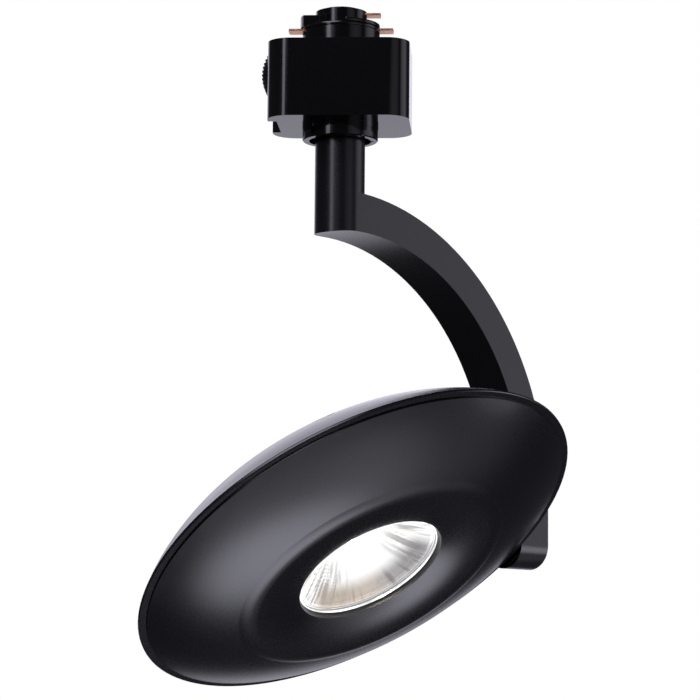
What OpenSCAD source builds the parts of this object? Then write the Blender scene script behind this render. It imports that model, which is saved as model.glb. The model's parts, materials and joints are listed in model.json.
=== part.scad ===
// Track spotlight: twist-lock adapter, swivelling quarter-circle arm, tilting saucer head.
// Millimetres, +Z up. The origin is on the swivel axis, in the adapter's top face.
// In the arm's frame X runs outwards along the arm; in the head's frame -Z is where light goes.

/* [Adapter block] */
// length of the adapter block along the track
block_l = 39.4; // [34:0.1:46]
// width of the adapter block across the track
block_w = 32.4; // [28:0.1:36]
// height of the adapter block
block_h = 21.8; // [18:0.1:28]
// radius of the block's upright corners
block_r = 6.6; // [3:0.1:9]
// wall thickness of the block
block_wall = 1.8; // [1.2:0.1:2.5]
// draft on the block's sides, in degrees
block_draft = 1.4; // [0:0.1:2]
// thickness of the top cover
cover_t = 1.6; // [1.2:0.1:2]

/* [Contact tower] */
// radius of the round neck that enters the track
neck_r = 10.9; // [9:0.1:12]
// height of the neck above the block
neck_h = 4.9; // [4:0.1:6]
// radius of the upper column
column_r = 7.2; // [6:0.1:9]
// top of the column above the block
column_h = 10.8; // [9:0.1:13]
// reach of the two side contacts from the axis
contact_reach = 14.8; // [13:0.1:16]
// thickness of the contact blades
contact_t = 0.6; // [0.4:0.1:1]

/* [Lock slide] */
// travel of the lock slide
slide_travel = 3; // [2:0.1:3.4]
// radius of the ribbed thumb grip
grip_r = 10.45; // [9:0.05:12]
// number of ribs on the grip
grip_ribs = 11; // [7:1:15]

/* [Swivel] */
// outer radius of the collar under the block
collar_r = 10.6; // [9:0.1:12]
// bottom of the collar below the top face
collar_z = -26; // [-30:0.1:-24]
// radius of the stem
stem_r = 7; // [6:0.1:8]
// radius of the stem's neck in its bush
spigot_r = 5; // [4:0.1:5.5]
// radial running clearance of turning fits
run_gap = 0.05; // [0.02:0.01:0.09]

/* [Arm] */
// bearing of the arm around the stem, in degrees
arm_yaw = 49.4; // [0:0.1:180]
// width of the arm and thickness of its foot
arm_w = 14; // [12:0.1:16]
// radius of the arm's outer curve
arm_ro = 83.8; // [70:0.1:95]
// radius of the arm's inner curve
arm_ri = 70.3; // [60:0.1:80]
// height of the tilt axis
pivot_z = -135.6; // [-150:0.1:-120]

/* [Head] */
// tilt of the head from straight down, in degrees
head_tilt = 36.6; // [0:0.1:80]
// distance of the head's centre from the stem axis
head_x = 4; // [0:0.1:6]
// outer radius of the rim
rim_r = 65; // [55:0.1:75]
// radius of the front edge where the dome starts
edge_r = 62.8; // [53:0.1:73]
// radius of the crease around the inner zone
crease_r = 40; // [34:0.1:46]
// radius of the light opening
opening_r = 21.4; // [16:0.1:26]
// radius of the rear shell's round shoulder
shoulder_r = 55; // [45:0.5:70]
// slope at which the shoulder runs into the crown, in degrees
crown_slope = 20; // [8:0.5:22]
// wall thickness of the shells
shell_t = 2; // [1.6:0.1:2.4]

/* [Light engine] */
// radius of the heat sink
sink_r = 26; // [22:0.1:28]
// number of heat sink fins
sink_fins = 12; // [6:3:12]
// radius of the light-emitting area
emitter_r = 4.8; // [3:0.1:6]

/* [Wiring] */
// radius of one insulated lead
lead_r = 0.65; // [0.5:0.05:0.75]

/* [Hidden] */
$fn = 64;
eps = 0.01;
floor_z = -block_h + 2.4;
boss_z = -block_h - 1.2;
spigot_top = -14.5;
stem_top = -23.5;
earth_z = 9.7;
outer_c = [-1.65, -125];
inner_c = [1, -122.5];
duct_c = [-0.3, -123.75];
duct_r = 77.6;
arm_out = outer_c[0] + arm_ro;
arm_in = inner_c[0] + arm_ri;
foot_in = arm_in - 1.1;
pivot_back = 5.8;
pivot_off = 1.4;
stud_r = 3.4;
dome_r = 83.5;
dome_c = [edge_r - dome_r * sin(31), dome_r * cos(31)];
shoulder_c = [23.7, -35.1];
crown_r = shoulder_r + shoulder_c[0] / sin(crown_slope);
crown_c = shoulder_c[1] - (crown_r - shoulder_r) * cos(crown_slope);
dish_x = 35.1;
dish_z = -10.5;
dish_r = 40.8;
roll_r = 12;
split_z = 1.5;
led_z = 9;
board_z = -1.4;
driver_r = 39;
screw_at = [for (a = [45, 135, 225, 315]) a];
copper = [0.80, 0.45, 0.28];
brass = [0.85, 0.68, 0.35];
steel = [0.70, 0.71, 0.73];
black = [0.07, 0.07, 0.08];
board_green = [0.10, 0.30, 0.17];

// ---------------------------------------------------------------- helpers
module in_arm() rotate([0, 0, arm_yaw]) children();
module in_head() in_arm() translate([0, 0, pivot_z]) rotate([-head_tilt, 0, 0])
    translate([head_x, -pivot_off, -pivot_back]) children();

// box from its low and high corners
module slab(lo, hi) translate(lo) cube(hi - lo);
// rounded rectangle, centred
module rrect(l, w, r) {
    square([l - 2 * r, w], center = true);
    square([l, w - 2 * r], center = true);
    for (x = [-1, 1], y = [-1, 1]) translate([x * (l / 2 - r), y * (w / 2 - r)]) circle(r);
}
module rblock(l, w, r, z0, z1) translate([0, 0, z0]) linear_extrude(z1 - z0) rrect(l, w, r);
module disc(r, z0, z1) translate([0, 0, z0]) cylinder(r = r, h = z1 - z0);
module ring(ro, ri, z0, z1) difference() { disc(ro, z0, z1); disc(ri, z0 - 1, z1 + 1); }
// cylinder along X
module bar(r, x0, x1, y = 0, z = 0) translate([x0, y, z]) rotate([0, 90, 0]) cylinder(r = r, h = x1 - x0);
// cylinder along Y
module rod(r, y0, y1, x = 0, z = 0) translate([x, y0, z]) rotate([-90, 0, 0]) cylinder(r = r, h = y1 - y0);
// place on a circle: angle, radius
module at(a, r) rotate([0, 0, a]) translate([r, 0, 0]) children();
// machine screw: countersunk or pan head, axis +Z is the head's side, z = 0 under the head
module screw(r, len, head_r, head_h, socket = 0.9) difference() {
    union() {
        translate([0, 0, -len]) cylinder(r = r, h = len + eps);
        cylinder(r1 = head_r, r2 = head_r * 0.86, h = head_h);
    }
    for (a = [0, 90]) rotate([0, 0, a])
        translate([-socket, -0.25, head_h - 0.6]) cube([2 * socket, 0.5, 1]);
}
module flat_screw(r, len, head_r, head_h) difference() {
    union() {
        translate([0, 0, -len]) cylinder(r = r, h = len - head_h + eps);
        translate([0, 0, -head_h]) cylinder(r1 = r, r2 = head_r, h = head_h);
    }
    for (a = [0, 90]) rotate([0, 0, a]) translate([-head_r * 0.55, -0.25, -0.6]) cube([head_r * 1.1, 0.5, 1]);
}

// smooth path through control points, and a round tube along it
function cr(p0, p1, p2, p3, t) = 0.5 * ((2 * p1) + (p2 - p0) * t + (2 * p0 - 5 * p1 + 4 * p2 - p3) * t * t
    + (3 * p1 - p0 - 3 * p2 + p3) * t * t * t);
function smooth(p, k) = let (n = len(p)) concat([for (i = [0 : n - 2], j = [0 : k - 1])
    cr(p[max(i - 1, 0)], p[i], p[i + 1], p[min(i + 2, n - 1)], j / k)], [p[n - 1]]);
function unit(v) = v / norm(v);
function tube_rings(p, r, ref, s) = [for (i = [0 : len(p) - 1])
    let (t = unit(p[min(i + 1, len(p) - 1)] - p[max(i - 1, 0)]), u = unit(cross(ref, t)), w = cross(t, u))
    for (j = [0 : s - 1]) p[i] + r * (cos(360 * j / s) * u + sin(360 * j / s) * w)];
module tube(p, r, ref, s = 8) {
    n = len(p);
    polyhedron(tube_rings(p, r, ref, s), concat(
        [[for (j = [0 : s - 1]) s - 1 - j]], [[for (j = [0 : s - 1]) (n - 1) * s + j]],
        [for (i = [0 : n - 2], j = [0 : s - 1]) let (k = (j + 1) % s)
            [i * s + j, i * s + k, (i + 1) * s + k, (i + 1) * s + j]]));
}
// lead number 0 to 2 keeps its own place around a bore's centre
function place(i) = 0.98 * [cos(90 * i), sin(90 * i)];

// ---------------------------------------------------------------- adapter block
module block_outer() intersection() {
    rblock(block_l, block_w, block_r, -block_h, 0);
    for (s = [0, 1]) mirror([s, 0, 0]) translate([block_l / 2, 0, 0]) rotate([0, block_draft, 0])
        translate([-2 * block_l, -50, -50]) cube([2 * block_l, 100, 100]);
    for (s = [0, 1]) mirror([0, s, 0]) translate([0, block_w / 2, 0]) rotate([-block_draft, 0, 0])
        translate([-50, -2 * block_w, -50]) cube([100, 2 * block_w, 100]);
}
module corners(x = 14.2, y = 11) for (a = [-1, 1], b = [-1, 1]) translate([a * x, b * y, 0]) children();

module adapter_housing() color(black) difference() {
    union() {
        difference() {
            block_outer();
            rblock(block_l - 2.4, block_w - 2.4, block_r - 1.2, -cover_t, 1);
            rblock(block_l - 2 * block_wall, block_w - 2 * block_wall, block_r - block_wall, floor_z, 0);
        }
        intersection() {
            union() {
                corners() disc(2.8, floor_z - eps, -cover_t);
                slab([-18.2, -9, floor_z - eps], [-15.7, 9, -cover_t - 0.1]);
            }
            block_outer();
        }
        disc(collar_r + 0.1, boss_z, -block_h + eps);
        translate([-13, 0, 0]) disc(1, floor_z - eps, floor_z + 3);
    }
    disc(7.45, boss_z - 1, floor_z + 1);
    corners() disc(1.1, -12, 1);
    // recess for the lock slide, open downwards, and the slot its neck runs in
    slab([-21, -7.6, -block_h - 1], [-17.3, 7.6, -cover_t]);
    slab([-18, -2.6, -10.5 - slide_travel - 0.3], [-15, 2.6, -6.2]);
    // bore for the swivel's stop pin
    at(arm_yaw + 180, 8.9) disc(1, floor_z - 1.4, floor_z + 1);
    // keying groove carried on from the collar
    rotate([0, 0, 229]) slab([collar_r - 0.5, -1, boss_z - 1], [collar_r + 1, 1, -block_h - 0.2]);
}
module adapter_cover() color([0.1, 0.1, 0.11]) difference() {
    rblock(block_l - 2.6, block_w - 2.6, block_r - 1.3, -cover_t + 0.02, 0);
    disc(neck_r + 0.05, -3, 1);
    slab([-15.8, -2.6, -3], [-12.8, 2.6, 1]);
    corners() disc(1.3, -3, 1);
    corners() translate([0, 0, -1.25]) cylinder(r1 = 1.3, r2 = 2.6, h = 1.3);
    translate([15.4, 0, -0.4]) cylinder(r = 1.4, h = 1);
}
module cover_screws() color(steel) corners() translate([0, 0, -0.05]) flat_screw(1.08, 9, 2.25, 1.15);

module contact_slots(c = 0.05) {
    for (s = [0, 1]) mirror([s, 0, 0]) slab([4.4, -2.6 - c, 5.2 - c], [16, 2.6 + c, 5.2 + contact_t + c]);
    slab([0.2, -2.2 - c, earth_z - c], [16, 2.2 + c, earth_z + contact_t + c]);
}
module contact_tower() color(black) difference() {
    union() {
        disc(12.4, -3, -cover_t - 0.05);
        disc(neck_r, -3, neck_h);
        disc(neck_r - 0.6, neck_h - eps, neck_h + 0.3);
        disc(neck_r, neck_h + 0.28, 5.95);
        disc(column_r, 5.9, column_h);
        ring(5.4, 4.4, column_h - eps, column_h + 0.6);
        // left lug, a thick sector, and the shoulder that runs on from it
        intersection() {
            disc(11.5, 5.9, 9);
            slab([-12, -5.2, 5], [-5, 5.2, 10]);
        }
        intersection() {
            disc(column_r + 0.6, 5.9, 8.9);
            slab([-12, -12, 5], [-3.6, 12, 10]);
        }
        // right lug, a thin half disc held on a web
        intersection() {
            disc(neck_r, 6.2, 7.1);
            slab([1.9, -12, 5], [12, 12, 10]);
        }
        intersection() {
            disc(neck_r - 1.2, 5.9, 6.3);
            slab([3, -3, 5], [12, 3, 10]);
        }
    }
    disc(6.2, -4, 4.6);
    disc(3.6, 4, column_h + 2);
    for (x = [-5.4, 4.8]) slab([x - 0.05, -2.05, 4], [x + contact_t + 0.05, 2.05, 5.9]);
    slab([0.25, -1.55, 4], [0.95, 1.55, column_h + 2]);
    contact_slots();
    // moulding core-outs in the neck's underside
    for (a = [45 : 90 : 315]) at(a, 8.6) disc(1.3, -4, 3.4);
}
module contact_retainer() color([0.85, 0.83, 0.76]) difference() {
    union() {
        disc(6.1, -3, -1.8);
        disc(2.6, -5, -2.9);
    }
    for (x = [-5.4, 4.8]) slab([x - 0.05, -2.05, -6], [x + contact_t + 0.05, 2.05, 0]);
    slab([0.25, -1.55, -6], [0.95, 1.55, 0]);
}
module side_contact() {
    slab([4.8, -2.5, 5.2], [contact_reach - 2.4, 2.5, 5.2 + contact_t]);
    intersection() {
        disc(contact_reach, 5.2, 5.2 + contact_t);
        slab([contact_reach - 2.5, -2.5, 5], [contact_reach + 1, 2.5, 6]);
    }
    slab([4.8, -2, -7.6], [4.8 + contact_t, 2, 5.25]);
    slab([4.5, -0.7, -8.1], [5.7, 0.7, -7.55]);
}
module line_contact() color(copper) mirror([1, 0, 0]) side_contact();
module neutral_contact() color(copper) side_contact();
module earth_contact() color(copper) {
    slab([0.3, -2.1, earth_z], [8.6, 2.1, earth_z + contact_t]);
    intersection() {
        disc(11.2, earth_z, earth_z + contact_t);
        slab([8.5, -2.1, 9], [12, 2.1, 11]);
    }
    slab([0.3, -1.5, -7.6], [0.3 + contact_t, 1.5, earth_z + 0.05]);
    slab([0, -0.7, -8.1], [1.2, 0.7, -7.55]);
}
lead_x = [5.1, 0.6, -5.1];
module crimp_sleeves() color(brass) for (x = lead_x) translate([x, 0, 0]) difference() {
    union() {
        disc(1.1, -11.4, -8.15);
        for (z = [-10.8, -9.2]) disc(1.25, z, z + 0.6);
    }
    disc(lead_r + 0.04, -12, -8);
}
module adapter_lead(i) let (x = lead_x[i], q = place(i))
    tube(smooth([[x, 0, -8.3], [x, 0, -11.2], [x * 0.72 + q[0] * 0.28, q[1] * 0.4, -12.6],
        [x * 0.2 + q[0] * 0.8, q[1] * 0.9, -13.6], [q[0], q[1], -14.9]], 7), lead_r, [0.01, 1, 0.02]);
module adapter_line_lead() color([0.16, 0.16, 0.17]) adapter_lead(2);
module adapter_neutral_lead() color([0.9, 0.9, 0.88]) adapter_lead(0);
module adapter_earth_lead() color([0.15, 0.5, 0.25]) adapter_lead(1);

module lock_spring() color(steel) tube([for (i = [0 : 76]) let (t = i / 76, a = 360 * 6 * t)
    [-13 + 1.8 * cos(a), 1.8 * sin(a), floor_z + 0.3 + 6.85 * t]], 0.24, [0, 0, 1], 6);
module swivel_bush() color([0.85, 0.83, 0.76]) difference() {
    union() {
        disc(7.4, boss_z - 0.2, floor_z + 0.05);
        disc(7.7, floor_z + 0.02, floor_z + 0.7);
    }
    disc(spigot_r + run_gap, -30, -10);
}
module swivel_collar() color([0.08, 0.08, 0.09]) difference() {
    union() {
        disc(collar_r, collar_z + 0.3, boss_z - 0.02);
        translate([0, 0, collar_z]) cylinder(r1 = collar_r - 0.3, r2 = collar_r, h = 0.32);
    }
    disc(8.7, collar_z - 1, boss_z - 0.6);
    disc(7.45, -30, -20);
    rotate([0, 0, 229]) slab([collar_r - 0.5, -1, collar_z + 0.9], [collar_r + 1, 1, -20]);
    for (a = [0 : 120 : 240]) at(a, 8.9) disc(0.5, collar_z - 1, collar_z + 0.6);
}
module swivel_stop_pin() color(steel) at(arm_yaw + 180, 8.9) {
    disc(0.98, floor_z - 1.3, floor_z + 3.6);
    translate([0, 0, floor_z + 3.59]) cylinder(r1 = 0.98, r2 = 0.6, h = 0.4);
}

// ---------------------------------------------------------------- lock slide
module lock_slide() color([0.09, 0.09, 0.1]) {
    slab([-19, -7.2, -17.6], [-17.6, 7.2, -2.2]);
    difference() {
        rod(grip_r, -6.4, 6.4, -21.35 + grip_r, -8.4);
        slab([-18.5, -20, -40], [20, 20, 20]);
        slab([-30, -20, -40], [20, 20, -14.4]);
        slab([-30, -20, -2.4], [20, 20, 20]);
    }
    for (i = [0 : grip_ribs - 1]) let (a = -30 + 60 * i / (grip_ribs - 1))
        rod(0.34, -6.4, 6.4, -21.35 + grip_r - grip_r * cos(a), -8.4 + grip_r * sin(a));
    slab([-17.7, -2.3, -10.5], [-15.3, 2.3, -6.5]);
    slab([-15.4, -4, -12], [-13.9, 4, -3.5]);
    slab([-15.4, -2.3, -3.6], [-13.2, 2.3, 1.9]);
    slab([-15.1, -2.3, 1.8], [-13.5, 2.3, 2.4]);
    slab([-15.4, -2.4, -12], [-10.8, 2.4, -11]);
    translate([-13, 0, 0]) disc(1, -12.9, -11.9);
}

// ---------------------------------------------------------------- stem and arm
module arm_arc(ro, ri, co, ci, y0, y1, z_low) intersection() {
    difference() {
        translate([co[0], 0, co[1]]) rod(ro, y0, y1);
        translate([ci[0], 0, ci[1]]) rod(ri, y0 - 1, y1 + 1);
    }
    slab([0, y0, z_low], [200, y1, 0]);
}
module duct(y0, y1, grow, x0) {
    intersection() {
        difference() {
            translate([duct_c[0], 0, duct_c[1]]) rod(duct_r + 2.4 + grow, y0, y1);
            translate([duct_c[0], 0, duct_c[1]]) rod(duct_r - 2.4 - grow, y0 - 1, y1 + 1);
        }
        slab([x0, y0, duct_c[1]], [200, y1, 0]);
    }
    slab([duct_c[0] + duct_r - 2.4 - grow, y0, pivot_z + 3.6 - grow],
        [duct_c[0] + duct_r + 2.4 + grow, y1, duct_c[1] + 0.1]);
}
module arm_casting() color([0.09, 0.09, 0.1]) in_arm() difference() {
    union() {
        disc(spigot_r, stem_top - eps, spigot_top);
        translate([0, 0, stem_top - 0.6]) cylinder(r1 = stem_r, r2 = stem_r - 0.5, h = 0.6);
        difference() {
            disc(stem_r, -60, stem_top - 0.59);
            translate([inner_c[0], 0, inner_c[1]]) rod(arm_ri, -10, 10);
        }
        arm_arc(arm_ro, arm_ri, outer_c, inner_c, -arm_w / 2, arm_w / 2, inner_c[1]);
        intersection() {
            translate([outer_c[0], 0, outer_c[1]]) rod(arm_ro, -arm_w / 2, arm_w / 2);
            slab([arm_in, -arm_w / 2, pivot_z], [arm_out + 1, arm_w / 2, inner_c[1] + eps]);
        }
        slab([arm_in, -arm_w / 2, pivot_z], [arm_out, arm_w / 2, outer_c[1]]);
        bar(arm_w / 2, foot_in, arm_out, 0, pivot_z);
    }
    disc(3.1, duct_c[1] + duct_r - 2.4, 0);
    duct(-2.2, arm_w / 2 - 1.4, 0, -3.05);
    duct(arm_w / 2 - 1.45, arm_w, 0.8, 1.2);
    bar(stud_r + 0.01, 60, 80, 0, pivot_z);
    bar(5.6, 75, 90, 0, pivot_z);
    // seat of the tilt stop pin
    bar(0.7, foot_in - 1, foot_in + 3, 0, pivot_z + 5.2);
}
module cable_cover() color([0.1, 0.1, 0.11]) in_arm() {
    duct(arm_w / 2 - 1.4, arm_w / 2, 0.72, 1.3);
    // snap ribs that grip the duct's two walls
    for (a = [12 : 13 : 77]) translate([duct_c[0], 0, duct_c[1]]) rotate([0, a, 0])
        for (s = [-1, 1]) translate([0, 0, duct_r + s * 1.9])
            slab([-2, arm_w / 2 - 3.4, -0.35], [2, arm_w / 2 - 1.39, 0.35]);
}
module stop_washer() color(steel) in_arm() difference() {
    union() {
        disc(7, floor_z + 1, floor_z + 2);
        intersection() {
            disc(10.2, floor_z + 1, floor_z + 2);
            slab([0, -1.1, -30], [12, 1.1, 0]);
        }
    }
    disc(spigot_r + 0.01, -30, 0);
}
module swivel_wave_washer() color(steel) {
    ring(6.6, spigot_r + 0.02, floor_z + 2.03, floor_z + 2.4);
    // the three raised waves
    for (a = [0 : 120 : 240]) at(a, 5.85) slab([-0.55, -1.6, floor_z + 2.39], [0.45, 1.6, floor_z + 2.75]);
}
module swivel_nut() color(brass) difference() {
    union() {
        intersection() {
            disc(7.2, floor_z + 2.8, spigot_top - 0.3);
            translate([0, 0, floor_z + 2]) cylinder(r = 7.6, h = 4, $fn = 6);
        }
        disc(6.3, floor_z + 2.78, spigot_top - 0.1);
    }
    disc(spigot_r + 0.01, -30, 0);
}
lane = [-0.75, 2.25, 0.75];
function arm_path(i) = let (q = place(i), y = lane[i], s = 74 / 20, x = 77.95 - 0.97 * q[0]) concat(
    [for (z = [-15.5, -21, -27, -33, -39]) [q[0], q[1], z]],
    [[0.5 + q[0] * 0.75, (q[1] + y) / 2, -43.2 - q[0] * 0.4], [2.6, y, -45.6]],
    [for (k = [1 : 21]) let (a = s * k + 3) [duct_c[0] + duct_r * sin(a), y, duct_c[1] + duct_r * cos(a)]],
    [[(duct_c[0] + duct_r + x) / 2, y, -127], [x, y * 0.55 + q[1] * 0.45, -130.4],
     [x, y * 0.25 + q[1] * 0.75, -133 + q[0] * 0.4], [x - 0.6 - (q[0] < 0 ? 0.2 : 0), q[1], pivot_z + 0.72 + q[0]]],
    [for (x = [75.2, 70, 63, 56, 49, 42.8]) [x, q[1], pivot_z + q[0]]]);
module arm_lead(i) in_arm() tube(smooth(arm_path(i), 2), lead_r, [0.001, 1, 0.002]);
module arm_line_lead() color([0.16, 0.16, 0.17]) arm_lead(2);
module arm_neutral_lead() color([0.9, 0.9, 0.88]) arm_lead(0);
module arm_earth_lead() color([0.15, 0.5, 0.25]) arm_lead(1);

// ---------------------------------------------------------------- tilt pivot
module pivot_stud() color(steel) in_arm() translate([0, 0, pivot_z]) difference() {
    union() {
        bar(stud_r, 42.2, 75.1);
        bar(5.3, 75.02, 75.9);
    }
    bar(2.1, 40, 80);
    for (a = [0 : 90 : 270]) rotate([a, 0, 0]) slab([75.4, -6, -0.6], [78, -4, 0.6]);
}
module pivot_cap() color([0.1, 0.1, 0.11]) in_arm() translate([0, 0, pivot_z]) difference() {
    bar(5.55, 79.9, arm_out - 0.05);
    bar(4, arm_out - 0.45, arm_out + 1);
}
module pivot_spring_washer() color(steel) in_arm() translate([48.9, 0, pivot_z]) rotate([0, 90, 0])
    rotate_extrude() polygon([[stud_r + 0.02, 0], [5, 0.7], [5, 1.3], [stud_r + 0.02, 0.6]]);
module pivot_nut() color(brass) in_arm() translate([0, 0, pivot_z]) difference() {
    union() {
        translate([44.3, 0, 0]) rotate([0, 90, 0]) cylinder(r = 5.1, h = 4, $fn = 6);
        bar(4.2, 44, 48.85);
    }
    bar(stud_r + 0.01, 40, 60);
}
module tilt_stop_pin() color(steel) in_arm() bar(0.69, foot_in - 2, foot_in + 2.9, 0, pivot_z + 5.2);

// ---------------------------------------------------------------- head shells
module boss_bar(r, x0, x1) bar(r, x0, x1, pivot_off, pivot_back);
boss_out = foot_in - 0.4 - head_x;
// half section of the rear shell's solid shape, drawn in by g
module rear_half(g = 0) let (x = shoulder_c[0] + (shoulder_r - g) * sin(crown_slope)) {
    intersection() {
        translate([0, crown_c]) circle(crown_r - g, $fn = 180);
        translate([0, -1]) square([x, 60]);
    }
    intersection() {
        translate(shoulder_c) circle(shoulder_r - g, $fn = 180);
        translate([x - eps, -1]) square([50, 60]);
    }
}
module rear_profile() difference() {
    intersection() {
        rear_half();
        translate([0, split_z]) square([rim_r, 60]);
    }
    intersection() {
        rear_half(shell_t);
        translate([0, -2]) square([rim_r - 2.4, 60]);
    }
}
module rear_inside() intersection() {
    rotate_extrude($fn = 128) rear_half(0.4);
    children();
}
module rear_shell() color([0.08, 0.08, 0.09]) in_head() difference() {
    union() {
        rotate_extrude($fn = 128) rear_profile();
        // pivot boss out to the arm's foot
        intersection() {
            boss_bar(arm_w / 2, 46.5, boss_out);
            union() {
                slab([40, -20, -0.3], [57.2, 20, 40]);
                slab([57, -20, split_z], [80, 20, 40]);
            }
        }
        rear_inside() union() {
            for (a = screw_at) at(a, 52) disc(3.2, 2.3, 18);
            for (a = [90 : 120 : 330]) at(a, 22) disc(3, 13.25, 22);
            at(42, 38) disc(3, 8.6, 20);
            // ribs that stiffen the dome
            for (a = [22.5 : 45 : 337.5]) rotate([0, 0, a]) slab([30, -0.7, 10.5], [47, 0.7, 20]);
        }
    }
    boss_bar(stud_r + run_gap, 30, 80);
    for (a = screw_at) at(a, 52) { disc(1.65, 0, 30); disc(3.1, 6.4, 30); }
    for (a = [90 : 120 : 330]) at(a, 22) disc(1.25, 10, 16.6);
    at(42, 38) disc(1.25, 5, 12);
    // arc groove for the tilt stop, in the boss's end face
    translate([boss_out - 1.9, pivot_off, pivot_back]) rotate([0, 90, 0]) rotate([0, 0, 79])
        rotate_extrude(angle = 202) translate([4.2, 0]) square([2, 3]);
}

module front_profile() {
    // outer dome, crease to rim
    difference() {
        intersection() {
            translate(dome_c) circle(dome_r, $fn = 180);
            translate([crease_r, -20]) square([edge_r - crease_r, 40]);
            polygon([[crease_r, -20], [edge_r, -20], [edge_r, 1.2], [crease_r, 1.2]]);
        }
        translate(dome_c) circle(dome_r - shell_t, $fn = 180);
    }
    // rim: the dome's edge, a recessed ledge round it, and the flat joint face
    polygon([[edge_r - 4.5, -0.2], [edge_r - 0.2, -0.08], [edge_r + 0.02, 0.08], [edge_r + 0.1, 0.5],
        [rim_r - 0.2, 0.56], [rim_r, 0.72], [rim_r, 1.2], [edge_r - 3.6, 1.2]]);
    // inner zone: dished towards the opening, then rolled over to meet the dome at the crease
    band(dish_r, opening_r, dish_x);
    band(roll_r, dish_x - eps, crease_r + 2 * eps);
}
// part of a circle's lower edge, one wall thick, between two radii from the head's axis
module band(r, x0, x1) intersection() {
    difference() {
        translate([dish_x, dish_z + r]) circle(r, $fn = 180);
        translate([dish_x, dish_z + r]) circle(r - 1.9, $fn = 180);
    }
    translate([x0, -20]) square([x1 - x0, 20]);
}
module front_bezel() color([0.06, 0.06, 0.07]) in_head() difference() {
    union() {
        rotate_extrude($fn = 128) front_profile();
        // lens seat, locating lip and screw posts
        ring(24.6, 22.5, -7.2, -2.2);
        ring(23, opening_r, -7, -5.15);
        ring(59.4, 57.8, -0.6, 3);
        intersection() {
            for (a = screw_at) at(a, 52) disc(3, -7, 2);
            rotate_extrude($fn = 128) intersection() {
                translate(dome_c) circle(dome_r - 0.4, $fn = 180);
                translate([0, -20]) square([70, 30]);
            }
        }
        for (a = [90, 180, 270]) at(a, driver_r) disc(2.6, -8.1, board_z - 0.05);
        for (a = [30 : 60 : 330]) rotate([0, 0, a]) slab([24, -0.6, -8.5], [37.5, 0.6, -5.6]);
    }
    for (a = screw_at) at(a, 52) disc(1.25, -2.4, 3);
    disc(opening_r, -20, 0);
    disc(22.5, -5.15, 0);
    for (a = [90, 180, 270]) at(a, driver_r) disc(0.95, -6.6, 1);
    // room for the pivot boss
    intersection() {
        boss_bar(arm_w / 2 + 0.3, 44, 62);
        slab([44, -20, -0.6], [57.5, 20, 20]);
    }
    slab([56.9, -6.5, 1.21], [60, 9.5, 4]);
}
module rim_gasket() color([0.03, 0.03, 0.03]) in_head() ring(rim_r - 0.7, rim_r - 4.6, 1.23, split_z - 0.02);
module shell_screws() color(steel) in_head() for (a = screw_at) at(a, 52)
    translate([0, 0, 6.42]) screw(1.23, 8.4, 2.8, 1.8, 1.4);

// ---------------------------------------------------------------- lens and reflector
module lens() color([0.9, 0.95, 1, 0.35]) in_head() {
    disc(22.3, -5.1, -3.9);
    disc(20.9, -6.6, -5.09);
    translate([0, 0, -6.9]) cylinder(r1 = 20.5, r2 = 20.9, h = 0.32);
}
module lens_retainer() color([0.12, 0.12, 0.13]) in_head() difference() {
    ring(22.4, 20.6, -3.85, -2.4);
    for (a = [0 : 90 : 270]) at(a, 22.3) disc(1, -5, 0);
}
module reflector() color([0.9, 0.9, 0.92]) in_head() rotate_extrude($fn = 96) polygon([
    [6.6, 7.7], [9.2, 5.2], [13.2, 1.4], [16.8, -1.2], [19.4, -3.2], [20.4, -3.7], [20.4, -2.9],
    [19.7, -2.35], [17.5, -0.5], [13.9, 2.1], [9.9, 5.9], [7.4, 8.0], [6.6, 8.0]]);

// ---------------------------------------------------------------- light engine
module led_emitter() color([0.95, 0.82, 0.35]) in_head() {
    disc(emitter_r, led_z - 1.0, led_z - 0.5);
    ring(emitter_r + 0.7, emitter_r + 0.02, led_z - 1.05, led_z - 0.5);
    slab([-6, -6, led_z - 0.52], [6, 6, led_z - 0.02]);
}
module led_board() color([0.92, 0.92, 0.93]) in_head() difference() {
    disc(15.5, led_z, led_z + 1.4);
    for (a = [45, 225]) at(a, 10.9) disc(1.05, 0, 20);
    for (a = [135, 315]) at(a, 15.5) disc(1.2, 0, 20);
}
module led_holder() color([0.95, 0.95, 0.93]) in_head() difference() {
    disc(12.8, led_z - 0.9, led_z - 0.03);
    slab([-6.1, -6.1, 0], [6.1, 6.1, 20]);
    for (a = [45, 225]) at(a, 10.9) disc(1.1, 0, 20);
}
module led_holder_screws() color(steel) in_head() for (a = [45, 225]) at(a, 10.9)
    translate([0, 0, led_z - 0.93]) mirror([0, 0, 1]) screw(0.96, 4.3, 1.7, 0.9, 0.8);
module thermal_pad() color([0.55, 0.6, 0.65]) in_head() difference() {
    disc(15.2, led_z + 1.42, led_z + 1.68);
    for (a = [45, 225]) at(a, 10.9) disc(1.2, 0, 20);
}
module heat_sink() color([0.75, 0.76, 0.78]) in_head() difference() {
    union() {
        disc(sink_r, led_z + 1.7, 13.2);
        disc(6, 13.1, 16.4);
        for (i = [0 : sink_fins - 1]) rotate([0, 0, 15 + 360 * i / sink_fins])
            slab([5.5, -0.6, 13.1], [sink_r - 1.2, 0.6, 15.9]);
    }
    for (a = [45, 225]) at(a, 10.9) disc(0.98, 0, 12.8);
    for (a = [90 : 120 : 330]) at(a, 22) disc(1.6, 0, 20);
    disc(3, 14.4, 20);
}
module heat_sink_screws() color(steel) in_head() for (a = [90 : 120 : 330]) at(a, 22)
    translate([0, 0, led_z + 1.68]) mirror([0, 0, 1]) screw(1.23, 5.8, 2.6, 1.5, 1.3);

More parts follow.
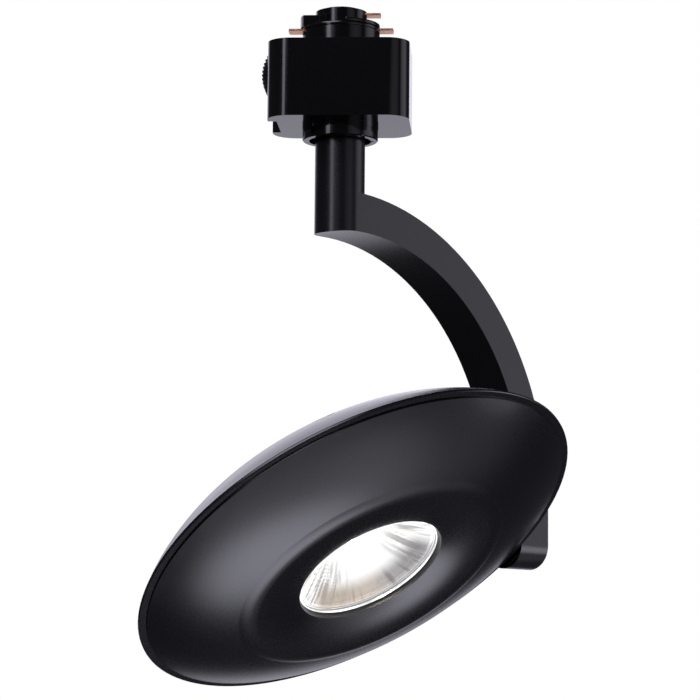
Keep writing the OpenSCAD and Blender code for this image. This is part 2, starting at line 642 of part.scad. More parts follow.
// ---------------------------------------------------------------- driver
module board_plan(ro, ri, a0, a1) intersection() {
    difference() { circle(ro, $fn = 128); circle(ri, $fn = 128); }
    polygon(concat([[0, 0]], [for (a = [a0 : (a1 - a0) / 8 : a1 + 0.1]) 80 * [cos(a), sin(a)]]));
}
module driver_board() color(board_green) in_head() difference() {
    translate([0, 0, board_z]) linear_extrude(1.6) board_plan(48.4, 29.5, 62, 298);
    for (a = [90, 180, 270]) at(a, driver_r) disc(1.1, -5, 5);
    for (a = [75, 105, 255, 285]) at(a, 46.4) disc(0.8, -5, 5);
}
module driver_insulator() color([0.8, 0.78, 0.7]) in_head() difference() {
    translate([0, 0, board_z - 0.75]) linear_extrude(0.3) board_plan(47.6, 29.8, 63, 297);
    for (a = [90, 180, 270]) at(a, driver_r) disc(2.7, -5, 5);
}
module driver_screws() color(steel) in_head() for (a = [90, 180, 270]) at(a, driver_r)
    translate([0, 0, board_z + 1.62]) screw(0.93, 5, 1.9, 1.3, 1);
pcb_top = board_z + 1.63;
module driver_transformer() color([0.85, 0.7, 0.25]) in_head() at(212, 38.6) {
    // ferrite core halves, bobbin flanges and winding
    difference() {
        slab([-6, -6.6, pcb_top + 1.4], [6, 6.6, pcb_top + 9.6]);
        slab([-7, -4.6, pcb_top + 2.9], [7, 4.6, pcb_top + 8.1]);
    }
    translate([0, 0, pcb_top + 5.5]) bar(2.5, -4.6, 4.6);
    for (x = [-5.2, 4.4]) slab([x, -4.5, pcb_top + 3], [x + 0.8, 4.5, pcb_top + 8]);
    for (x = [-7.6, 6.1]) slab([x, -4.4, pcb_top], [x + 1.5, 4.4, pcb_top + 3.2]);
    slab([-7.6, -4.2, pcb_top + 0.2], [7.6, 4.2, pcb_top + 1.45]);
}
module driver_capacitors() color([0.12, 0.16, 0.3]) in_head() for (q = [[118, 9], [134, 9], [150, 7.5]])
    at(q[0], 38.4) {
        bar(3.9, -q[1] / 2 - 2, q[1] / 2 + 2, 0, pcb_top + 4.05);
        bar(3.5, q[1] / 2 + 1.9, q[1] / 2 + 2.3, 0, pcb_top + 4.05);
        for (y = [-1.4, 1.4]) {
            bar(0.28, -q[1] / 2 - 3.2, -q[1] / 2 - 1.9, y, pcb_top + 2.4);
            translate([-q[1] / 2 - 3, y, 0]) disc(0.28, pcb_top, pcb_top + 2.6);
        }
    }
module driver_choke() color([0.72, 0.42, 0.22]) in_head() at(244, 39) {
    disc(5, pcb_top, pcb_top + 1.2);
    disc(3.9, pcb_top + 1.1, pcb_top + 6.9);
    for (z = [2.2 : 1.1 : 6]) disc(4.15, pcb_top + z, pcb_top + z + 0.6);
    disc(5, pcb_top + 6.8, pcb_top + 8);
}
module driver_film_capacitor() color([0.75, 0.2, 0.15]) in_head() at(104, 40.5)
    slab([-5.5, -2.2, pcb_top], [5.5, 2.2, pcb_top + 8.2]);
module chip(l, w, h, legs) {
    slab([-l / 2, -w / 2, pcb_top + 0.15], [l / 2, w / 2, pcb_top + h]);
    for (i = [0 : legs - 1], s = [-1, 1]) let (x = -l / 2 + (i + 0.5) * l / legs)
        slab([x - 0.2, min(s * (w / 2 - 0.1), s * (w / 2 + 0.9)), pcb_top],
            [x + 0.2, max(s * (w / 2 - 0.1), s * (w / 2 + 0.9)), pcb_top + 0.5]);
}
module driver_chips() color([0.1, 0.1, 0.11]) in_head() {
    at(166, 37) chip(6, 4, 1.8, 4);
    at(194, 36) chip(8, 5.4, 2.6, 2);
    at(196, 44.2) chip(4, 3, 1.5, 3);
    at(268, 45) chip(3.2, 1.8, 0.9, 1);
    at(228, 46) chip(3.2, 1.8, 0.9, 1);
    at(76, 38) chip(5, 4, 1.8, 3);
}
module driver_terminal() color([0.2, 0.45, 0.3]) in_head() at(-75, 38) mirror([0, 1, 0]) difference() {
    slab([-5.4, -4.3, pcb_top], [5.4, 4.3, pcb_top + 8.4]);
    for (x = [-2.6, 2.6]) {
        translate([x, 0.4, 0]) disc(1.7, pcb_top + 5.6, pcb_top + 9);
        slab([x - 1.4, -5, pcb_top + 1.6], [x + 1.4, -1.2, pcb_top + 4.6]);
    }
}
// leads inside the head, from the hollow stud to the terminal, and to the earth tag
bore_q = [for (i = [0 : 2]) [37.9, pivot_off + place(i)[1], pivot_back + place(i)[0]]];
function term_in(x, d) = [(38 + x) * cos(75) + (1.4 + d) * sin(75), -(38 + x) * sin(75) + (1.4 + d) * cos(75),
    pcb_top + 3.1];
module head_line_lead() color([0.16, 0.16, 0.17]) in_head()
    tube(smooth([bore_q[2], [34.8, 0.4, 4.6], [31.4, -5, 4.4], [29.8, -12, 3.8], [28.6, -20, 3.4],
        [26.4, -27, pcb_top + 3.1], term_in(-2.6, 6), term_in(-2.6, 0.2)], 5), lead_r, [0, 0.02, 1]);
module head_neutral_lead() color([0.9, 0.9, 0.88]) in_head()
    tube(smooth([bore_q[0], [35, 0.6, 7], [33.4, -6, 6.2], [33.2, -13, 5], [32, -21, 4],
        [29.6, -28.4, pcb_top + 3.1], term_in(2.6, 6), term_in(2.6, 0.2)], 5), lead_r, [0, 0.02, 1]);
earth_p = 38 * [cos(42), sin(42)];
module head_earth_lead() color([0.15, 0.5, 0.25]) in_head()
    tube(smooth([bore_q[1], [35.4, 3.6, 5.8], [33.4, 8, 5.8], [31.6, 13, 6.4], [earth_p[0] + 0.6, 17.6, 7.4],
        [earth_p[0] + 0.2, earth_p[1] - 4.2, 7.6]], 5), lead_r, [0, 0.02, 1]);
module earth_tag() color(brass) in_head() translate([earth_p[0], earth_p[1], 0]) {
    ring(2.9, 1.3, 8.05, 8.55);
    slab([-1, -3.4, 8.05], [1.2, -2.5, 8.55]);
    difference() {
        rod(1.15, -5.6, -3, 0.2, 7.6);
        rod(lead_r + 0.03, -6, -2.5, 0.2, 7.6);
    }
}
module earth_screw() color(steel) in_head() translate([earth_p[0], earth_p[1], 8.02]) mirror([0, 0, 1])
    screw(1.23, 3.6, 2.3, 1.4, 1.2);
module dc_lead(s) in_head() tube(smooth([[s * 1.6 - 3, 31.2, pcb_top + 0.75], [s * 1.6 - 2.6, 30, 2.2],
    [s * 1.5 - 2, 27.6, 5], [s * 1.4 - 1, 23.4, 7], [s * 1.3, 19, 7.9], [s * 1.3, 14.4, 8.3]], 5),
    0.55, [1, 0.02, 0.01]);
module led_positive_lead() color([0.7, 0.1, 0.1]) dc_lead(1);
module led_negative_lead() color([0.12, 0.12, 0.13]) dc_lead(-1);

// ---------------------------------------------------------------- build
adapter_housing();
adapter_cover();
cover_screws();
contact_tower();
contact_retainer();
line_contact();
neutral_contact();
earth_contact();
crimp_sleeves();
adapter_line_lead();
adapter_neutral_lead();
adapter_earth_lead();
lock_spring();
swivel_bush();
swivel_collar();
swivel_stop_pin();
lock_slide();
arm_casting();
cable_cover();
stop_washer();
swivel_wave_washer();
swivel_nut();
arm_line_lead();
arm_neutral_lead();
arm_earth_lead();
pivot_stud();
pivot_cap();
pivot_spring_washer();
pivot_nut();
tilt_stop_pin();
rear_shell();
front_bezel();
rim_gasket();
shell_screws();
lens();
lens_retainer();
reflector();
led_emitter();
led_board();
led_holder();
led_holder_screws();
thermal_pad();
heat_sink();
heat_sink_screws();
driver_board();
driver_insulator();
driver_screws();
driver_transformer();
driver_capacitors();
driver_choke();
driver_film_capacitor();
driver_chips();
driver_terminal();
head_line_lead();
head_neutral_lead();
head_earth_lead();
earth_tag();
earth_screw();
led_positive_lead();
led_negative_lead();
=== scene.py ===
"""Looks of the track spotlight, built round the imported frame. Metres, the row frame, +Z up."""
import json
import math

import bmesh
import bpy
from mathutils import Matrix, Vector


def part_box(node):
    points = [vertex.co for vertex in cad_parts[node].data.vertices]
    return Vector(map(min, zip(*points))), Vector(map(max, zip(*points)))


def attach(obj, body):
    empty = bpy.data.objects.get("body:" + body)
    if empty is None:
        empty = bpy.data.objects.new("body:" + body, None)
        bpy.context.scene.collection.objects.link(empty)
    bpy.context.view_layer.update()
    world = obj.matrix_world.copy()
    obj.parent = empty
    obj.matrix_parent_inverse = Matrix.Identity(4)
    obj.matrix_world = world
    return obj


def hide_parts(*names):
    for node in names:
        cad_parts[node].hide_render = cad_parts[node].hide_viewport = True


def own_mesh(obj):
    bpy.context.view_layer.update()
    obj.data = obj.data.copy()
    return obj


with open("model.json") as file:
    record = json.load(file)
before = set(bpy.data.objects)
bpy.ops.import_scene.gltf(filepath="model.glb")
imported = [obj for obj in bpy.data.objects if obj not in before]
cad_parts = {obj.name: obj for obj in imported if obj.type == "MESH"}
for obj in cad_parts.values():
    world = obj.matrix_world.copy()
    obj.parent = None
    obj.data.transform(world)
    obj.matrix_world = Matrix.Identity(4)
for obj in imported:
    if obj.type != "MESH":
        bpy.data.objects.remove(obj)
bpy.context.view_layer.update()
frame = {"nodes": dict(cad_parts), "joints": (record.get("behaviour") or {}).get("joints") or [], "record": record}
NODES = frame["nodes"]
SLOT_OF = {part["node"]: part["material_slot"] for part in frame["record"]["subparts"]}
JOINT = {joint["name"]: joint for joint in frame["joints"]}
MM = 0.001

# The head's own frame, from the design's values: x out along the arm, -z the way the light goes.
ARM_YAW = math.radians(49.4)
HEAD_TILT = math.radians(36.6)
HEAD_OFFSET = (4.0, -1.4, -5.8)
HEAD = (Matrix.Rotation(ARM_YAW, 4, "Z")
        @ Matrix.Translation(Vector(JOINT["head_tilt"]["pos_m"]))
        @ Matrix.Rotation(-HEAD_TILT, 4, "X")
        @ Matrix.Translation(Vector(HEAD_OFFSET) * MM))


# ---------------------------------------------------------------- camera, light and stage
CAMERA_AT = (0.0495, -0.7694, -0.1809)


def add_camera():
    """Long lens, a little below the lamp and looking slightly up."""
    data = bpy.data.cameras.new("camera")
    data.lens, data.sensor_width = 144.0, 36.0
    data.clip_start, data.clip_end = 0.02, 50.0
    pitch, pan, roll = 0.124, -0.060, 0.009
    ahead = Vector((math.sin(pan) * math.cos(pitch), math.cos(pan) * math.cos(pitch), math.sin(pitch)))
    right = Vector((math.cos(pan), -math.sin(pan), 0.0))
    up = right.cross(ahead)
    side = math.cos(roll) * right + math.sin(roll) * up
    top = -math.sin(roll) * right + math.cos(roll) * up
    camera = bpy.data.objects.new("camera", data)
    camera.matrix_world = (Matrix.Translation(CAMERA_AT)
                           @ Matrix((side, top, -ahead)).transposed().to_4x4())
    bpy.context.scene.collection.objects.link(camera)
    bpy.context.scene.camera = camera


# Soft boxes round the lamp: bearing clockwise from straight behind it, height, both in degrees,
# then the inner and outer half-angle and the brightness.
SOFTBOXES = (
    (52, -70, 7, 19, 3.5),
    (104, -64, 10, 32, 1.1),
    (84, -40, 10, 30, 0.40),
    (0, -90, 8, 25, 0.20),
    (80, 2, 8, 28, 1.0),
    (78, -14, 5, 12, 2.4),
    (132, 0, 10, 28, 0.35),
    (-146, 0, 3.5, 8, 2.6),
    (-146, 12, 3.5, 8, 2.6),
    (-150, 40, 14, 30, 4.6),
    (-8, -8, 9, 24, 0.65),
    (-22, 40, 20, 38, 1.5),
    (2, 12, 4, 14, 0.9),
)
# brightness between the boxes, and the tint of all of it
ROOM = 0.05
ROOM_TINT = (0.88, 0.87, 1.0)


def direction(bearing, height):
    """Unit vector of a bearing and a height in degrees."""
    bearing, height = math.radians(bearing), math.radians(height)
    level = math.cos(height)
    return Vector((math.sin(bearing) * level, math.cos(bearing) * level, math.sin(height)))


def set_range(node, low, high, bottom=0.0, top=1.0):
    """Makes a Map Range node take low..high to bottom..top, and returns its output."""
    for socket, value in (("From Min", low), ("From Max", high), ("To Min", bottom), ("To Max", top)):
        node.inputs[socket].default_value = value
    return node.outputs[0]


def add_world():
    """A dim studio with soft boxes, in front of a white sweep."""
    world = bpy.data.worlds.new("studio")
    world.use_nodes = True
    tree = world.node_tree
    tree.nodes.clear()
    new, link = tree.nodes.new, tree.links.new
    coord, total = new("ShaderNodeTexCoord"), None
    for bearing, height, inner, outer, strength in SOFTBOXES:
        facing, spread = new("ShaderNodeVectorMath"), new("ShaderNodeMapRange")
        facing.operation = "DOT_PRODUCT"
        link(coord.outputs["Generated"], facing.inputs[0])
        facing.inputs[1].default_value = direction(bearing, height)
        link(facing.outputs["Value"], spread.inputs["Value"])
        spread.interpolation_type = "SMOOTHSTEP"
        edge, core = math.cos(math.radians(outer)), math.cos(math.radians(inner))
        add = new("ShaderNodeMath")
        add.operation = "ADD"
        link(set_range(spread, edge, core, 0.0, strength), add.inputs[0])
        if total is None:
            add.inputs[1].default_value = ROOM
        else:
            link(total, add.inputs[1])
        total = add.outputs[0]
    room, sweep = new("ShaderNodeBackground"), new("ShaderNodeBackground")
    room.inputs["Color"].default_value = (*ROOM_TINT, 1.0)
    link(total, room.inputs["Strength"])
    sweep.inputs["Color"].default_value = (1.0, 1.0, 1.0, 1.0)
    path, mix = new("ShaderNodeLightPath"), new("ShaderNodeMixShader")
    out = new("ShaderNodeOutputWorld")
    link(path.outputs["Is Camera Ray"], mix.inputs[0])
    link(room.outputs[0], mix.inputs[1])
    link(sweep.outputs[0], mix.inputs[2])
    link(mix.outputs[0], out.inputs[0])
    bpy.context.scene.world = world
    bpy.context.scene.view_settings.view_transform = "Standard"


FLOOR_RADIUS = 9.0
FLOOR_HEIGHT = -0.55


def add_floor():
    """Pale matt floor, well below the lamp and out of its reflections."""
    mesh = bpy.data.meshes.new("floor")
    grid = bmesh.new()
    bmesh.ops.create_circle(grid, cap_ends=True, segments=96, radius=FLOOR_RADIUS)
    bmesh.ops.translate(grid, vec=(0.0, 0.0, FLOOR_HEIGHT), verts=grid.verts)
    grid.to_mesh(mesh)
    grid.free()
    floor = bpy.data.objects.new("floor", mesh)
    bpy.context.scene.collection.objects.link(floor)
    paint = surface("floor_paint", (0.86, 0.86, 0.87), 0.85, grain=9.0, bump=0.05, vary=0.03)
    floor.data.materials.append(paint)
    floor.visible_glossy = floor.visible_diffuse = floor.visible_shadow = False


# ---------------------------------------------------------------- materials
def surface(name, colour, rough, metal=0.0, grain=2500.0, bump=0.1, depth=0.02, vary=0.12,
            rough_vary=0.06, painted_edge_highlight=0.0, stretch=None, blotch=60.0):
    """Principled material: grain sets the fine bump's scale per metre and depth its height in mm, vary the
    colour's unevenness and blotch its scale, painted_edge_highlight how far exposed edges lighten as a painted
    edge highlight, stretch the grain's direction for brushed metal."""
    material = bpy.data.materials.new(name)
    material.use_nodes = True
    tree = material.node_tree
    new, link = tree.nodes.new, tree.links.new
    shader = tree.nodes["Principled BSDF"]
    shader.inputs["Metallic"].default_value = metal
    coord, mapping = new("ShaderNodeTexCoord"), new("ShaderNodeMapping")
    link(coord.outputs["Object"], mapping.inputs["Vector"])
    if stretch:
        mapping.inputs["Scale"].default_value = stretch
    fine, broad = new("ShaderNodeTexNoise"), new("ShaderNodeTexNoise")
    fine.inputs["Scale"].default_value, fine.inputs["Detail"].default_value = grain, 3.0
    broad.inputs["Scale"].default_value, broad.inputs["Detail"].default_value = blotch, 4.0
    link(mapping.outputs[0], fine.inputs["Vector"])
    link(coord.outputs["Object"], broad.inputs["Vector"])
    ramp = new("ShaderNodeValToRGB")
    dark = [max(0.0, c * (1.0 - vary)) for c in colour]
    light = [min(1.0, c * (1.0 + vary) + vary * 0.002) for c in colour]
    for stop, position, shade in zip(ramp.color_ramp.elements, (0.3, 0.7), (dark, light)):
        stop.position = position
        stop.color = (*shade, 1.0)
    link(broad.outputs["Fac"], ramp.inputs[0])
    tint = ramp.outputs["Color"]
    # painted edge highlight: sharp convex edges, found by pointiness, get a lighter colour
    if painted_edge_highlight:
        shape, edge = new("ShaderNodeNewGeometry"), new("ShaderNodeMapRange")
        link(shape.outputs["Pointiness"], edge.inputs["Value"])
        edge_highlight_colour = tuple(min(1.0, c * 2.0 + 0.03) for c in colour)
        tint = blend_colours(tree, set_range(edge, 0.52, 0.60, 0.0, painted_edge_highlight), tint, edge_highlight_colour)
    link(tint, shader.inputs["Base Color"])
    polish = new("ShaderNodeMapRange")
    link(fine.outputs["Fac"], polish.inputs["Value"])
    smoothest, roughest = max(0.0, rough - rough_vary), min(1.0, rough + rough_vary)
    link(set_range(polish, 0.3, 0.7, smoothest, roughest), shader.inputs["Roughness"])
    relief = new("ShaderNodeBump")
    relief.inputs["Strength"].default_value = bump
    relief.inputs["Distance"].default_value = depth * MM
    link(fine.outputs["Fac"], relief.inputs["Height"])
    link(relief.outputs["Normal"], shader.inputs["Normal"])
    return material


def glow(material, colour, strength):
    """Adds emission to a surface."""
    shader = material.node_tree.nodes["Principled BSDF"]
    shader.inputs["Emission Color"].default_value = (*colour, 1.0)
    shader.inputs["Emission Strength"].default_value = strength


def head_space(tree):
    """A point's place in the head in mm, its direction away from the lens axis and its distance from it."""
    new, link = tree.nodes.new, tree.links.new
    coord, place = new("ShaderNodeTexCoord"), new("ShaderNodeMapping")
    flat = new("ShaderNodeVectorMath")
    spot, turn, _ = HEAD.decompose()
    place.vector_type = "TEXTURE"
    place.inputs["Location"].default_value = spot
    place.inputs["Rotation"].default_value = turn.to_euler("XYZ")
    place.inputs["Scale"].default_value = (MM, MM, MM)
    link(coord.outputs["Object"], place.inputs["Vector"])
    flat.operation = "MULTIPLY"
    link(place.outputs[0], flat.inputs[0])
    flat.inputs[1].default_value = (1.0, 1.0, 0.0)
    away, radius = new("ShaderNodeVectorMath"), new("ShaderNodeVectorMath")
    away.operation, radius.operation = "NORMALIZE", "LENGTH"
    link(flat.outputs[0], away.inputs[0])
    link(flat.outputs[0], radius.inputs[0])
    return place.outputs[0], away.outputs[0], radius.outputs["Value"]


def step_mask(tree, value, low, high, bottom=0.0, top=1.0):
    """Smooth step of a value between low and high."""
    node = tree.nodes.new("ShaderNodeMapRange")
    node.interpolation_type = "SMOOTHSTEP"
    tree.links.new(value, node.inputs["Value"])
    return set_range(node, low, high, bottom, top)


def multiply(tree, *values):
    """Product of several values."""
    total = values[0]
    for value in values[1:]:
        node = tree.nodes.new("ShaderNodeMath")
        node.operation = "MULTIPLY"
        tree.links.new(total, node.inputs[0])
        if isinstance(value, float):
            node.inputs[1].default_value = value
        else:
            tree.links.new(value, node.inputs[1])
        total = node.outputs[0]
    return total


def towards(tree, away, degrees):
    """How far a direction round the lens axis agrees with a bearing in the head."""
    node = tree.nodes.new("ShaderNodeVectorMath")
    node.operation = "DOT_PRODUCT"
    tree.links.new(away, node.inputs[0])
    turn = math.radians(degrees)
    node.inputs[1].default_value = (math.cos(turn), math.sin(turn), 0.0)
    return node.outputs["Value"]


def blend_colours(tree, factor, first, second):
    """Mix of two colours, each a tuple or a socket."""
    node = tree.nodes.new("ShaderNodeMix")
    node.data_type = "RGBA"
    tree.links.new(factor, node.inputs["Factor"])
    for socket, colour in ((node.inputs[6], first), (node.inputs[7], second)):
        if isinstance(colour, tuple):
            socket.default_value = (*colour, 1.0)
        else:
            tree.links.new(colour, socket)
    return node.outputs[2]


# bearing in the head of the part of the reflector's wall that carries a painted shade, dim and warm
PAINTED_SHADE_BEARING = 36.0
# radii in mm of the lens's clear rim and of the painted highlight line round it; the lens outside the rim's radius
# and the line glow by painted emission
LENS_RIM = 19.2
LENS_PAINTED_LINE = (20.5, 20.82)


def lens_material():
    """Clear plastic with a pressed dot pattern, whose rim and a thin line round it glow by painted emission, a
    painted highlight.
    """
    material = surface("lens_glass", (1.0, 0.995, 0.98), 0.02, grain=300.0, bump=0.01, vary=0.01,
                       rough_vary=0.01)
    tree = material.node_tree
    shader = tree.nodes["Principled BSDF"]
    shader.inputs["Transmission Weight"].default_value = 1.0
    shader.inputs["IOR"].default_value = 1.3
    place, _, radius = head_space(tree)
    cells, relief = tree.nodes.new("ShaderNodeTexVoronoi"), tree.nodes.new("ShaderNodeBump")
    cells.inputs["Scale"].default_value = 1.1
    cells.inputs["Randomness"].default_value = 0.05
    tree.links.new(place, cells.inputs["Vector"])
    inside = step_mask(tree, radius, LENS_RIM - 0.6, LENS_RIM - 0.3, 1.0, 0.0)
    relief.inputs["Strength"].default_value = 0.10
    relief.inputs["Distance"].default_value = 0.10 * MM
    tree.links.new(multiply(tree, cells.outputs["Distance"], inside), relief.inputs["Height"])
    tree.links.new(relief.outputs["Normal"], shader.inputs["Normal"])
    # painted glow: the lens outside LENS_RIM and a thin line round it emit light, a painted highlight on a part
    # that is no lamp
    rim = step_mask(tree, radius, LENS_RIM, LENS_RIM + 0.15, 0.0, 0.16)
    inner, outer = LENS_PAINTED_LINE
    line = multiply(tree, step_mask(tree, radius, inner, inner + 0.1),
                    step_mask(tree, radius, outer - 0.1, outer, 0.8, 0.0))
    total = tree.nodes.new("ShaderNodeMath")
    tree.links.new(rim, total.inputs[0])
    tree.links.new(line, total.inputs[1])
    shader.inputs["Emission Color"].default_value = (0.97, 0.98, 1.0, 1.0)
    tree.links.new(total.outputs[0], shader.inputs["Emission Strength"])
    return material


def reflector_material():
    """Bright metallised facets, lit by the emitter and glowing with a painted emission colour: painted shade along
    one side of the rim, painted highlight streaks beside that.
    """
    material = surface("reflector_facets", (0.30, 0.29, 0.28), 0.22, metal=1.0, grain=1500.0, bump=0.05)
    tree = material.node_tree
    shader = tree.nodes["Principled BSDF"]
    _, away, radius = head_space(tree)
    facing, along = towards(tree, away, PAINTED_SHADE_BEARING), towards(tree, away, PAINTED_SHADE_BEARING + 90.0)
    spread, rise = tree.nodes.new("ShaderNodeVectorMath"), tree.nodes.new("ShaderNodeCombineXYZ")
    spread.operation = "MULTIPLY_ADD"
    tree.links.new(away, spread.inputs[0])
    spread.inputs[1].default_value = (7.0, 7.0, 7.0)
    tree.links.new(multiply(tree, radius, 0.06), rise.inputs["Z"])
    tree.links.new(rise.outputs[0], spread.inputs[2])
    streaks, sideways = tree.nodes.new("ShaderNodeTexNoise"), tree.nodes.new("ShaderNodeMath")
    streaks.inputs["Scale"].default_value, streaks.inputs["Detail"].default_value = 1.6, 3.0
    tree.links.new(spread.outputs[0], streaks.inputs["Vector"])
    streak = streaks.outputs["Fac"]
    sideways.operation = "ABSOLUTE"
    tree.links.new(along, sideways.inputs[0])
    # painted highlight: near-white streaks in the emission colour beside the shaded wall
    painted_highlight_mask = multiply(tree, step_mask(tree, streak, 0.44, 0.60),
                    step_mask(tree, sideways.outputs[0], 0.35, 0.75), step_mask(tree, radius, 8.0, 13.0), 0.9)
    # painted shade: a dim band along one side of the rim, in the emission colour
    painted_shade_mask = multiply(tree, step_mask(tree, facing, 0.20, 0.60), step_mask(tree, radius, 13.0, 17.5),
                    step_mask(tree, streak, 0.30, 0.50, 1.0, 0.80))
    # colours of the painted shade, dark grey on one side and warm on the other, and of the painted highlight; the
    # whole cup glows with them by emission
    shade = blend_colours(tree, step_mask(tree, along, -0.35, 0.25),
                          (0.06, 0.056, 0.052), (0.30, 0.22, 0.12))
    painted_highlight = blend_colours(tree, painted_highlight_mask, (1.0, 1.0, 0.99), (0.26, 0.26, 0.255))
    colour = blend_colours(tree, painted_shade_mask, painted_highlight, shade)
    tree.links.new(colour, shader.inputs["Emission Color"])
    shader.inputs["Emission Strength"].default_value = 1.05
    return material


# what each material slot looks like; the edge value on the dark finishes paints a lighter colour on their sharp
# edges, a painted edge highlight
FINISHES = {
    "gloss_black": dict(colour=(0.002, 0.002, 0.0026), rough=0.10, grain=1400.0, bump=0.05,
                        rough_vary=0.03, painted_edge_highlight=0.25),
    "satin_black": dict(colour=(0.002, 0.002, 0.0036), rough=0.24, grain=5200.0, bump=0.16, depth=0.03,
                        rough_vary=0.05, painted_edge_highlight=0.35),
    "black_plastic": dict(colour=(0.012, 0.012, 0.013), rough=0.42, grain=4200.0, bump=0.2, painted_edge_highlight=0.3),
    "ivory_plastic": dict(colour=(0.78, 0.74, 0.62), rough=0.45, grain=2600.0, bump=0.12),
    "white_plastic": dict(colour=(0.86, 0.86, 0.83), rough=0.4, grain=2600.0, bump=0.12),
    "green_plastic": dict(colour=(0.05, 0.30, 0.13), rough=0.4, grain=2600.0, bump=0.12, painted_edge_highlight=0.2),
    "copper": dict(colour=(0.86, 0.42, 0.23), rough=0.26, metal=1.0, grain=900.0, bump=0.12,
                   stretch=(1.0, 7.0, 1.0)),
    "brass": dict(colour=(0.86, 0.62, 0.26), rough=0.28, metal=1.0, grain=1100.0, bump=0.12,
                  stretch=(7.0, 1.0, 1.0)),
    "zinc_steel": dict(colour=(0.62, 0.63, 0.66), rough=0.32, metal=1.0, grain=1500.0, bump=0.2),
    "spring_steel": dict(colour=(0.42, 0.43, 0.45), rough=0.36, metal=1.0, grain=1800.0, bump=0.15),
    "sheath_black": dict(colour=(0.012, 0.012, 0.013), rough=0.5, grain=2200.0, bump=0.2),
    "sheath_white": dict(colour=(0.80, 0.80, 0.77), rough=0.48, grain=2200.0, bump=0.2),
    "sheath_green": dict(colour=(0.03, 0.30, 0.09), rough=0.48, grain=2200.0, bump=0.2),
    "sheath_red": dict(colour=(0.52, 0.02, 0.02), rough=0.48, grain=2200.0, bump=0.2),
    "aluminium": dict(colour=(0.78, 0.79, 0.80), rough=0.34, metal=1.0, grain=1200.0, bump=0.2,
                      stretch=(1.0, 1.0, 9.0)),
    "gasket": dict(colour=(0.016, 0.016, 0.017), rough=0.7, grain=3000.0, bump=0.3),
    "phosphor": dict(colour=(0.95, 0.78, 0.30), rough=0.5, grain=3500.0, bump=0.25),
    "pcb_green": dict(colour=(0.02, 0.17, 0.07), rough=0.35, grain=1800.0, bump=0.2, vary=0.3,
                      blotch=700.0),
    "pcb_white": dict(colour=(0.85, 0.85, 0.83), rough=0.35, grain=1800.0, bump=0.15),
    "insulator_film": dict(colour=(0.80, 0.77, 0.66), rough=0.5, grain=900.0, bump=0.2),
    "pad_grey": dict(colour=(0.42, 0.45, 0.50), rough=0.75, grain=2600.0, bump=0.3),
    "can_black": dict(colour=(0.02, 0.02, 0.05), rough=0.3, grain=1500.0, bump=0.15, painted_edge_highlight=0.2),
    "tape_yellow": dict(colour=(0.80, 0.55, 0.06), rough=0.4, grain=700.0, bump=0.3, stretch=(1.0, 1.0, 6.0)),
    "chip_black": dict(colour=(0.014, 0.014, 0.015), rough=0.55, grain=4200.0, bump=0.3),
}
# edge softening in millimetres, as real geometry, where a moulded or cast edge shows
SOFT_EDGES = {
    "adapter_housing": 0.30, "adapter_cover": 0.12, "contact_tower": 0.15, "lock_slide": 0.12,
    "swivel_collar": 0.15, "arm_casting": 0.45, "cable_cover": 0.15, "pivot_cap": 0.2,
    "line_contact": 0.08, "neutral_contact": 0.08, "earth_contact": 0.08,
}


def shade_smooth_group():
    """A node group that makes every face smooth, so that the weighted normals alone shape the shading."""
    group = bpy.data.node_groups.new("shade_smooth", "GeometryNodeTree")
    group.interface.new_socket("Geometry", in_out="INPUT", socket_type="NodeSocketGeometry")
    group.interface.new_socket("Geometry", in_out="OUTPUT", socket_type="NodeSocketGeometry")
    start, end = group.nodes.new("NodeGroupInput"), group.nodes.new("NodeGroupOutput")
    smooth = group.nodes.new("GeometryNodeSetShadeSmooth")
    group.links.new(start.outputs[0], smooth.inputs["Geometry"])
    group.links.new(smooth.outputs[0], end.inputs[0])
    return group


def soften(node, width):
    """Rounds a node's hard edges with real geometry."""
    node.modifiers.new("weld", "WELD").merge_threshold = 1e-6
    group = bpy.data.node_groups.get("shade_smooth") or shade_smooth_group()
    node.modifiers.new("smooth", "NODES").node_group = group
    bevel = node.modifiers.new("edge", "BEVEL")
    bevel.width, bevel.segments = width, 2
    bevel.limit_method, bevel.angle_limit = "ANGLE", math.radians(38)
    bevel.use_clamp_overlap = True
    normals = node.modifiers.new("normals", "WEIGHTED_NORMAL")
    normals.mode, normals.keep_sharp, normals.weight = "FACE_AREA_WITH_ANGLE", False, 50


def dress_nodes():
    """Gives every CAD node its slot's finish, and softened edges where SOFT_EDGES names it."""
    materials = {slot: surface(slot, **look) for slot, look in FINISHES.items()}
    materials["lens_glass"] = lens_material()
    materials["reflector"] = reflector_material()
    for name, node in NODES.items():
        node.data.materials.clear()
        node.data.materials.append(materials[SLOT_OF[name]])
        if name in SOFT_EDGES:
            soften(node, SOFT_EDGES[name] * MM)
    glow(materials["phosphor"], (1.0, 0.94, 0.82), 14.0)
    return materials


# ---------------------------------------------------------------- reflector cup
# radius and height in mm of each ring of the cup's facets, from the emitter out to the rim
CUP_RINGS = ((6.7, 7.75), (7.7, 6.55), (9.3, 5.1), (11.4, 3.15), (13.6, 1.2), (16.0, -0.6), (18.4, -2.35),
             (20.3, -3.6))
CUP_LIP = -3.05
CUP_FACETS = 40
CUP_WALL = 0.35


def ring_of_points(bm, radius, height, shift):
    """Evenly spaced vertices round the lens axis, turned by shift of a step."""
    angles = [2.0 * math.pi * (step + shift) / CUP_FACETS for step in range(CUP_FACETS)]
    return [bm.verts.new((radius * math.cos(a), radius * math.sin(a), height)) for a in angles]


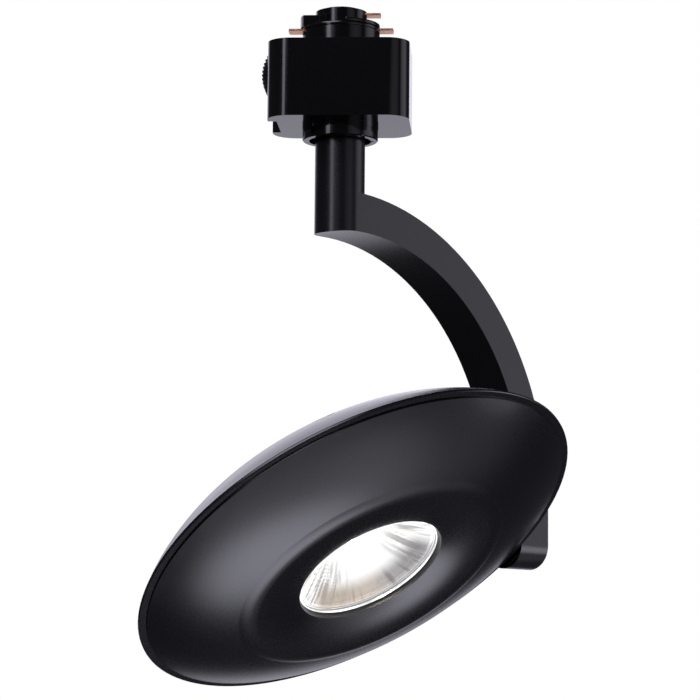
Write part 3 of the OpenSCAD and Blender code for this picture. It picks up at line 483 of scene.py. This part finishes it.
def add_reflector(materials):
    """A cup of triangular facets between the emitter and the lens, in place of the plain CAD cup."""
    bm = bmesh.new()
    rings = [ring_of_points(bm, radius, height, 0.5 * (row % 2))
             for row, (radius, height) in enumerate(CUP_RINGS)]
    rows = len(rings) - 1
    lip = ring_of_points(bm, CUP_RINGS[-1][0], CUP_LIP, 0.5 * (rows % 2))
    for row in range(rows):
        low, high, shift = rings[row], rings[row + 1], row % 2
        for step in range(CUP_FACETS):
            after = (step + 1) % CUP_FACETS
            if shift:
                bm.faces.new((low[step], low[after], high[after]))
                bm.faces.new((low[step], high[after], high[step]))
            else:
                bm.faces.new((low[step], low[after], high[step]))
                bm.faces.new((low[after], high[after], high[step]))
    for step in range(CUP_FACETS):
        after = (step + 1) % CUP_FACETS
        bm.faces.new((rings[-1][step], rings[-1][after], lip[after], lip[step]))
    bmesh.ops.recalc_face_normals(bm, faces=bm.faces)
    for vert in bm.verts:
        vert.co = HEAD @ (vert.co * MM)
    mesh = bpy.data.meshes.new("reflector_cup")
    bm.to_mesh(mesh)
    bm.free()
    cup = bpy.data.objects.new("reflector_cup", mesh)
    bpy.context.scene.collection.objects.link(cup)
    wall = cup.modifiers.new("wall", "SOLIDIFY")
    wall.thickness, wall.offset = CUP_WALL * MM, 0.0
    mesh.materials.append(materials["reflector"])
    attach(cup, "head")
    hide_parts("reflector")


# ---------------------------------------------------------------- lock spring
# the coil's mean radius and its wire's radius in mm, and its turns and the points drawn on each turn
COIL_RADIUS = 1.8
WIRE_RADIUS = 0.24
COIL_TURNS = 6
TURN_POINTS = 28


def add_spring(materials):
    """The lock's coil spring: it stands on its seat in the adapter."""
    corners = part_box("lock_spring")
    centre_x, centre_y, _ = ((a + b) / 2 for a, b in zip(*corners))
    low, high = (corner[2] for corner in corners)
    coil, wire = COIL_RADIUS * MM, WIRE_RADIUS * MM
    curve = bpy.data.curves.new("spring_coil", "CURVE")
    curve.dimensions, curve.bevel_depth, curve.bevel_resolution = "3D", wire, 4
    path = curve.splines.new("POLY")
    path.points.add(COIL_TURNS * TURN_POINTS)
    for index, point in enumerate(path.points):
        turned = index / TURN_POINTS
        angle = 2.0 * math.pi * turned
        # the first and the last turn lie flat
        lift = min(1.0, max(0.0, (turned - 1.0) / (COIL_TURNS - 2.0)))
        height = low + wire + (high - low - 2.0 * wire) * lift
        point.co = (centre_x + coil * math.cos(angle), centre_y + coil * math.sin(angle), height, 1.0)
    drawn = bpy.data.objects.new("spring_path", curve)
    mesh = bpy.data.meshes.new_from_object(drawn)
    bpy.data.objects.remove(drawn)
    mesh.name = "spring_coil"
    spring = bpy.data.objects.new("spring_coil", mesh)
    bpy.context.scene.collection.objects.link(spring)
    mesh.materials.clear()
    mesh.materials.append(materials["spring_steel"])
    for face in mesh.polygons:
        face.use_smooth = True
    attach(spring, "adapter")
    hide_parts("lock_spring")
    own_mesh(spring)


# ---------------------------------------------------------------- build
add_camera()
add_world()
add_floor()
finishes = dress_nodes()
add_reflector(finishes)
add_spring(finishes)
